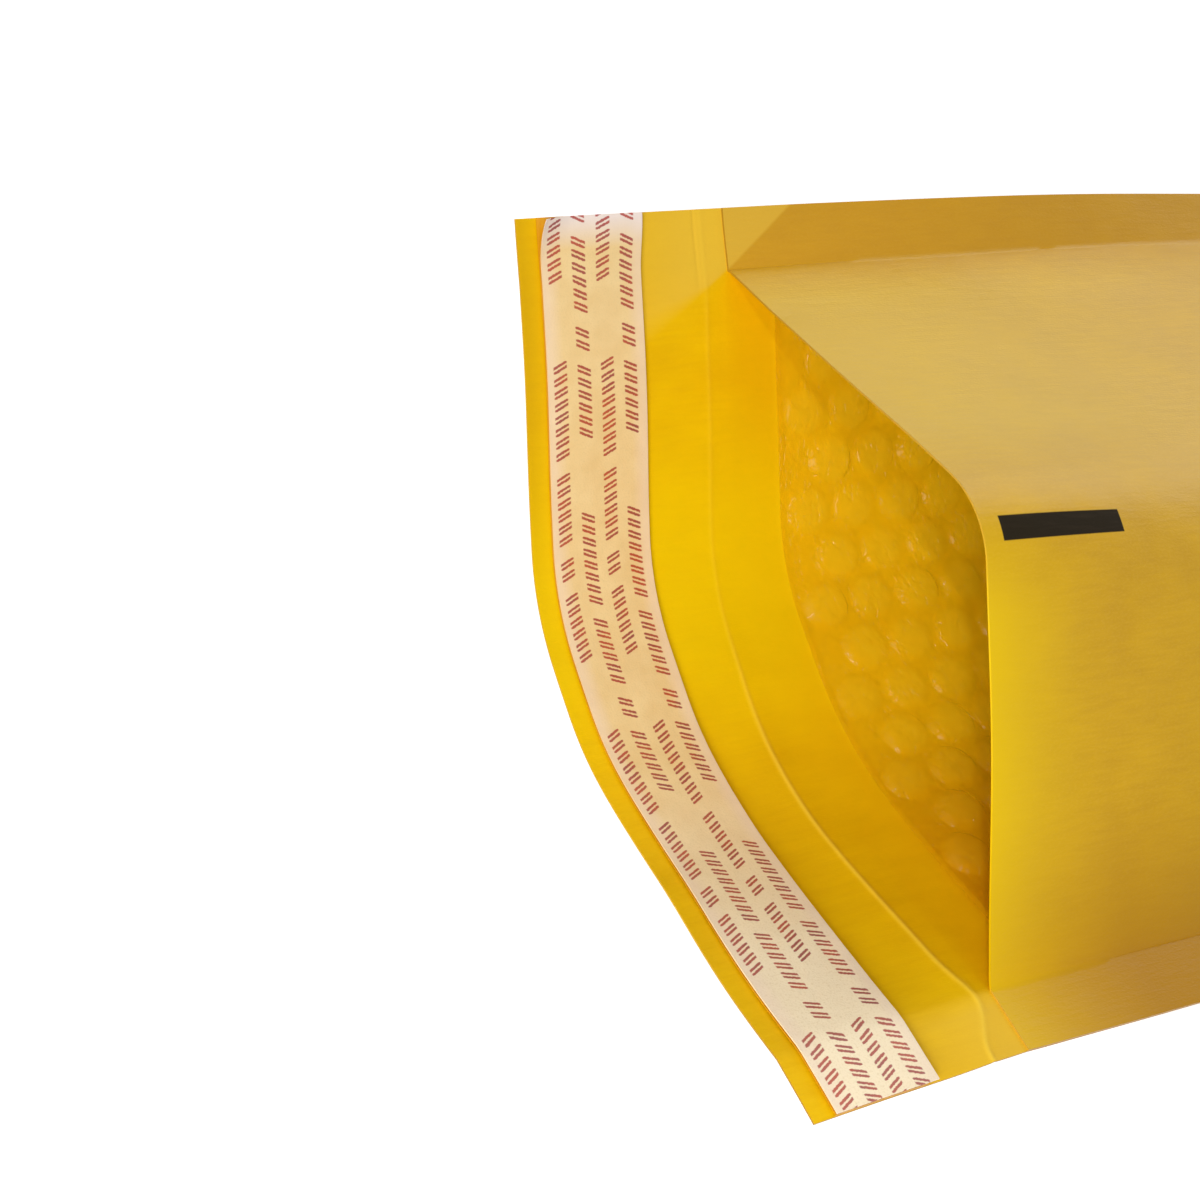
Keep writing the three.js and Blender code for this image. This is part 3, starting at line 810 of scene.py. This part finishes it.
def kraft_outside():
    """Golden kraft paper, with painted light and shade: a painted glow on the single layer next to the mouth,
    painted light on the upper side, and painted shade on the glued seams, the lower side and the cut edge.
    """
    nodes = Nodes(bpy.data.materials.new("Kraft_outside"))
    vector = nodes.sheet()
    x, s = nodes.split(vector)
    from_mouth = nodes.math("SUBTRACT", 2 * LENGTH, x)
    from_middle = nodes.math("ABSOLUTE", s)
    fine, long, cloud = kraft_fibres(nodes, vector)
    colour = nodes.mix(nodes.between(cloud, 0.3, 0.7), "#D4A20C", "#DEAC14")
    colour = nodes.mix(nodes.between(long, 0.35, 0.75, 0, 0.3), colour, "#C5910C")
    colour = nodes.mix(nodes.between(fine, 0.45, 0.8, 0, 0.25), colour, "#E9BE3C")

    # Painted light and shade: a painted glow on the single layer, painted shade on the seams and the lower
    # side, and painted light on the paler part up to the +Y seam.
    front = nodes.math("GREATER_THAN", x, LENGTH)
    near_mouth = nodes.math("POWER", nodes.between(from_mouth, 0.0, 0.034, 1.0, 0.0), 1.6)
    painted_glow = nodes.times(front, near_mouth, nodes.between(s, 0.006, -0.016, 0.0, 0.95))
    colour = nodes.mix(painted_glow, colour, "#F0C600")
    # Painted shade: darker seams, and a darker band on the lower side away from the mouth.
    seam = nodes.between(from_middle, HALF_POCKET - 0.007, HALF_POCKET, 0.0, 0.25)
    lower_painted_shade = nodes.between(s, -0.05, -HALF_POCKET, 0.0, 0.9)
    lower_painted_shade = nodes.times(lower_painted_shade, nodes.between(from_mouth, 0.0, 0.035, 0.3, 1.0))
    colour = nodes.mix(nodes.math("MAXIMUM", seam, lower_painted_shade), colour, "#B07C04")
    # Painted light on the upper side.
    upper_painted_light = nodes.times(nodes.between(s, 0.0, 0.025, 0.0, 0.5), nodes.between(from_mouth, 0.15, 0.02))
    upper_painted_light = nodes.times(upper_painted_light, nodes.between(s, HALF_POCKET, HALF_POCKET - 0.012))
    colour = nodes.mix(upper_painted_light, colour, "#F2CC44")
    # Painted shade on the band of the +Y flange.
    flange = nodes.between(s, HALF_POCKET - 0.0006, HALF_POCKET + 0.0006, 0.0, 0.4)
    colour = nodes.mix(flange, colour, "#CC942E")
    colour = nodes.mix(left_corner_painted_light(nodes, from_mouth, s), colour, "#E0B43A")

    # The paper's cut edge round the mouth, painted darker as shade over its lit rim.
    off_pocket = nodes.between(from_middle, HALF_POCKET - 0.0005, HALF_POCKET + 0.0005)
    dull = nodes.math("MAXIMUM", nodes.between(s, -0.01, 0.01), off_pocket)
    at_mouth = nodes.math("LESS_THAN", nodes.math("ABSOLUTE", from_mouth), 0.0001)
    edge_painted_shade = nodes.mix(nodes.between(s, -HALF_POCKET, HALF_POCKET), "#D2A42C", "#B98A1E")
    colour = nodes.mix(nodes.times(at_mouth, dull), colour, edge_painted_shade)

    # The printed bar.
    lengthwise = nodes.window(from_mouth, BAR_START, BAR_END, 0.0001)
    bar = nodes.times(lengthwise, nodes.window(s, BAR_LOW, BAR_HIGH, 0.0001), front)
    ink = nodes.mix(nodes.between(long, 0.5, 0.8), "#060403", "#1C1610")
    colour = nodes.mix(nodes.times(bar, 0.985), colour, ink)
    rough = nodes.math("MAXIMUM", nodes.between(cloud, 0.2, 0.8, 0.30, 0.38), nodes.times(bar, 0.9))
    nodes.surface({"Base Color": colour, "Roughness": rough, "Specular IOR Level": 0.16})
    nodes.bump((fine, 0.00004), (long, 0.00005), (cloud, 0.0003))
    return nodes.owner


def kraft_inside():
    """The paper's inner face under its thin film: deeper yellow and smoother."""
    nodes = Nodes(bpy.data.materials.new("Kraft_inside"))
    vector = nodes.sheet()
    x, s = nodes.split(vector)
    fine, long, cloud = kraft_fibres(nodes, vector)
    colour = nodes.mix(nodes.between(cloud, 0.3, 0.7), "#E6B400", "#F0C000")
    colour = nodes.mix(nodes.between(long, 0.4, 0.8, 0, 0.25), colour, "#DBA400")
    colour = nodes.mix(nodes.between(fine, 0.5, 0.85, 0, 0.2), colour, "#F6CB20")

    # Deeper past the crease, a painted light band of lemon yellow half-way across, and the paper behind the
    # film, painted darker towards -Y as shade in that corner of the pocket.
    colour = nodes.mix(nodes.between(x, -0.006, 0.004, 0.0, 0.6), colour, "#EFBC04")
    colour = nodes.mix(nodes.between(nodes.apart(s, 0.02), 0.038, 0.012, 0.0, 0.5), colour, "#F0D000")
    lined = nodes.mix(nodes.between(s, -0.02, -0.06), "#FFD610", "#E8A808")
    colour = nodes.mix(nodes.between(x, PAD_SETBACK - 0.001, PAD_SETBACK + 0.003), colour, lined)

    # The flap's margin, painted light on its corners and a painted highlight along the crease.
    margin = nodes.between(x, FLAP_END + 0.006, FLAP_END + 0.001, 0.0, 0.6)
    margin = nodes.times(margin, nodes.between(s, 0.0, 0.06))
    colour = nodes.mix(margin, colour, "#C89806")
    pale = nodes.math("MAXIMUM", left_corner_painted_light(nodes, x, s), right_corner_painted_light(nodes, x, s))
    colour = nodes.mix(pale, colour, "#E6BA38")
    colour = nodes.mix(nodes.times(nodes.mark(), 0.6), colour, "#F8D040")
    rough = nodes.between(long, 0.2, 0.8, 0.45, 0.55)
    nodes.surface({"Base Color": colour, "Roughness": rough, "Specular IOR Level": 0.12})
    wrinkle = nodes.noise(vector, scale=160, stretch=(0.25, 1, 1), detail=1.0, roughness=0.5)
    nodes.bump((fine, 0.00003), (wrinkle, 0.00025), (cloud, 0.0003))
    return nodes.owner


def bubble_film():
    """Clear film tinted by the paper behind it, with fine wrinkles drawn tight over the bubbles."""
    nodes = Nodes(bpy.data.materials.new("Bubble_film"))
    metres = nodes.scaled(nodes.sheet(), (1, POCKET, 1))
    patches = nodes.noise(metres, scale=45, detail=1.0, roughness=0.6)
    colour = nodes.mix(nodes.between(patches, 0.3, 0.7), "#F0B000", "#FABE08")
    # Painted light: the bubbles' crowns are lighter.
    colour = nodes.mix(nodes.between(nodes.mark(), 0.45, 1.0, 0.0, 0.8), colour, "#FFDE30")
    rough = nodes.between(patches, 0.4, 0.6, 0.05, 0.25)
    nodes.surface({"Base Color": colour, "Roughness": rough, "Specular IOR Level": 0.5, "Alpha": 0.16})
    crinkle = nodes.noise(metres, scale=420, detail=1.0, roughness=0.6)
    folds = nodes.noise(metres, scale=210, stretch=(1, 0.7, 1), detail=2.0, roughness=0.5)
    nodes.bump((crinkle, 0.0005), (nodes.between(nodes.apart(folds, 0.5), 0.0, 0.03), 0.0002))
    return nodes.owner


def adhesive():
    """A thin rubbery layer, slightly uneven and shiny."""
    nodes = Nodes(bpy.data.materials.new("Adhesive"))
    streaks = nodes.noise(nodes.sheet(), scale=500, stretch=(1, 0.1, 1), detail=3.0, roughness=0.6)
    colour = nodes.mix(nodes.between(streaks, 0.3, 0.7), "#D08C08", "#E2A520")
    nodes.surface({"Base Color": colour, "Roughness": nodes.between(streaks, 0.2, 0.8, 0.25, 0.4)})
    nodes.bump((streaks, 0.0001))
    return nodes.owner


PRINTED_ROWS = 4
ROW_SPACING = 0.005  # between the printed rows on the peel-off strip
FIRST_ROW = 0.0026  # from the strip's edge at the flap's free edge
PRINT_PERIOD = 0.072  # along the strip, from the start of one set of groups to the next
ROW_SHIFT = 0.4  # of a period, between one row and the next
TICKS = 31  # places for ticks in a period
TICK_GROUPS = ((6, 0), (7, 1), (9, 0), (10, 1), (16, 0), (17, 1), (25, 0))  # from each place on: 1 is ink
TICK_HALF = 0.0014  # half the height of a tick
TICK_SLANT = 0.45
STROKE_SPACING = 0.0009  # between the two strokes of a tick
STROKE_OUTER = 0.00033  # a stroke fades from this half width
STROKE_INNER = 0.00019  # to this one
STROKE_WOBBLE = 0.00008


def printed_ticks(nodes, x, s, grain):
    """Ink in four staggered rows of slanted ticks in groups. Each tick is two strokes."""
    in_rows = nodes.math("DIVIDE", nodes.math("SUBTRACT", x, FIRST_ROW - ROW_SPACING / 2), ROW_SPACING)
    odd = nodes.math("MODULO", nodes.math("FLOOR", in_rows), 2.0)
    across = nodes.times(nodes.math("SUBTRACT", nodes.math("FRACT", in_rows), 0.5), ROW_SPACING)
    shifted = nodes.math("ADD", nodes.math("ADD", s, 1.0), nodes.times(odd, ROW_SHIFT * PRINT_PERIOD))
    along = nodes.math("FRACT", nodes.math("DIVIDE", shifted, PRINT_PERIOD))
    place = nodes.times(along, float(TICKS))

    middle = nodes.math("ADD", nodes.math("FLOOR", place), 0.5)
    groups = nodes.add("ShaderNodeValToRGB", {0: nodes.math("DIVIDE", middle, float(TICKS))})
    ramp = groups.color_ramp
    ramp.interpolation = "CONSTANT"
    ramp.elements[0].position = 0.0
    ramp.elements[0].color = (1, 1, 1, 1)
    ramp.elements.remove(ramp.elements[1])
    for start, on in TICK_GROUPS:
        ramp.elements.new(start / TICKS).color = (on, on, on, 1)

    direction = nodes.math("SUBTRACT", 1.0, nodes.times(odd, 2.0))
    slant = nodes.times(across, TICK_SLANT, direction)
    cell = nodes.times(nodes.math("SUBTRACT", nodes.math("FRACT", place), 0.5), PRINT_PERIOD / TICKS)
    off_stroke = nodes.apart(nodes.apart(cell, slant), STROKE_SPACING / 2)
    wobble = nodes.between(grain, 0.3, 0.7, -STROKE_WOBBLE, STROKE_WOBBLE)
    stroke = nodes.between(nodes.math("ADD", off_stroke, wobble), STROKE_OUTER, STROKE_INNER)
    tall = nodes.between(nodes.math("ABSOLUTE", across), TICK_HALF + 0.0001, TICK_HALF - 0.0001)
    in_strip = nodes.math("GREATER_THAN", in_rows, 0.0)
    in_strip = nodes.times(in_strip, nodes.math("LESS_THAN", in_rows, float(PRINTED_ROWS)))
    return nodes.times(stroke, tall, groups.outputs[0], in_strip, 0.9)


def release_paper():
    """Pale release paper with a fine grain, pink along its edges and printed with red ticks."""
    nodes = Nodes(bpy.data.materials.new("Release_paper"))
    vector = nodes.sheet()
    x, s = nodes.split(vector)
    grain = nodes.noise(vector, scale=2400, detail=1.0, roughness=0.7)
    cloud = nodes.noise(vector, scale=140, detail=2.0, roughness=0.6)
    colour = nodes.mix(nodes.between(cloud, 0.3, 0.7), "#E6C384", "#EECF93")
    colour = nodes.mix(nodes.between(s, -0.015, -0.062, 0.0, 0.8), colour, "#FFF0D0")
    colour = nodes.mix(nodes.between(grain, 0.5, 0.8, 0, 0.4), colour, "#D9BE84")
    half = STRIP_WIDTH / 2
    pink = nodes.between(nodes.apart(x, half), half - 0.0035, half - 0.001, 0.0, 0.4)
    colour = nodes.mix(pink, colour, "#F2D8C2")
    # Painted light on the curled loose corner, which turns away from the lamps.
    loose = nodes.between(s, HALF_WIDTH - 0.006, HALF_WIDTH - 0.0005, 0.0, 0.8)
    colour = nodes.mix(loose, colour, "#F0E4E2")
    ink = nodes.mix(nodes.between(cloud, 0.35, 0.65), "#B02A10", "#8E1C2A")
    colour = nodes.mix(printed_ticks(nodes, x, s, grain), colour, ink)
    nodes.surface({"Base Color": colour, "Roughness": nodes.between(grain, 0.2, 0.8, 0.38, 0.5)})
    nodes.bump((grain, 0.00003), (cloud, 0.0002))
    return nodes.owner


kraft = [kraft_outside(), kraft_inside()]
piece("paper_wrapper", paper_wrapper(), kraft, "kraft_paper", "kraft_wrapper")
lining = piece("bubble_lining", bubble_lining(), [bubble_film()], "bubble_film", "bubble_liner")
piece("adhesive_band", adhesive_band(), [adhesive()], "adhesive", "adhesive_strip")
piece("peel_strip", peel_strip(), [release_paper()], "release_paper", "release_strip")


# Floor, light and camera

def floor():
    """A wide pale floor. The view, reflections and clear film see it lighter than it lights the envelope."""
    mesh = bpy.data.meshes.new("floor")
    signs = ((-1, -1), (1, -1), (1, 1), (-1, 1))
    mesh.from_pydata([(x * FLOOR_REACH, y * FLOOR_REACH, 0) for x, y in signs], [], [(0, 1, 2, 3)])
    made = bpy.data.objects.new("floor", mesh)
    bpy.context.scene.collection.objects.link(made)
    made.location.z = -FLOOR_DROP
    nodes = Nodes(bpy.data.materials.new("Floor"))
    nodes.surface({"Base Color": (FLOOR_GREY, FLOOR_GREY, FLOOR_GREY, 1), "Roughness": 0.9})
    nodes.surface({"Specular IOR Level": 0.0, "Emission Color": (1, 1, 1, 1)})
    nodes.surface({"Emission Strength": nodes.times(nodes.seen(), FLOOR_SEEN)})
    mesh.materials.append(nodes.owner)


def lamp(name, place, target, size, power):
    """A soft lamp that the camera doesn't see."""
    data = bpy.data.lights.new(name, "AREA")
    data.shape = "RECTANGLE"
    data.size, data.size_y = size
    data.energy = power
    made = bpy.data.objects.new(name, data)
    bpy.context.scene.collection.objects.link(made)
    made.location = place
    made.rotation_mode = "QUATERNION"
    made.rotation_quaternion = (Vector(target) - Vector(place)).to_track_quat("-Z", "Y")
    made.visible_camera = False


def world():
    """White, and stronger where it is seen than as light."""
    nodes = Nodes(bpy.data.worlds.new("World"), "Background")
    bpy.context.scene.world = nodes.owner
    strength = nodes.between(nodes.seen(), 0.0, 1.0, WORLD_LIGHT, WORLD_SEEN)
    nodes.surface({"Color": (1, 1, 1, 1), "Strength": strength})


def camera():
    """The photograph's camera: its right and up are made exactly square to each other."""
    data = bpy.data.cameras.new("Camera")
    data.sensor_width = CAMERA_SENSOR
    data.lens = CAMERA_LENS
    data.clip_start, data.clip_end = 0.01, 20.0
    made = bpy.data.objects.new("Camera", data)
    bpy.context.scene.collection.objects.link(made)
    right = Vector(CAMERA_RIGHT).normalized()
    up = -Vector(CAMERA_DOWN)
    up = (up - right * up.dot(right)).normalized()
    back = right.cross(up)
    turn = Matrix((right, up, back)).transposed().to_4x4()
    made.matrix_world = Matrix.Translation(CAMERA_PLACE) @ turn
    bpy.context.scene.camera = made


floor()
world()
for setting in LAMPS:
    lamp(*setting)
camera()
bpy.context.scene.view_settings.view_transform = "Standard"
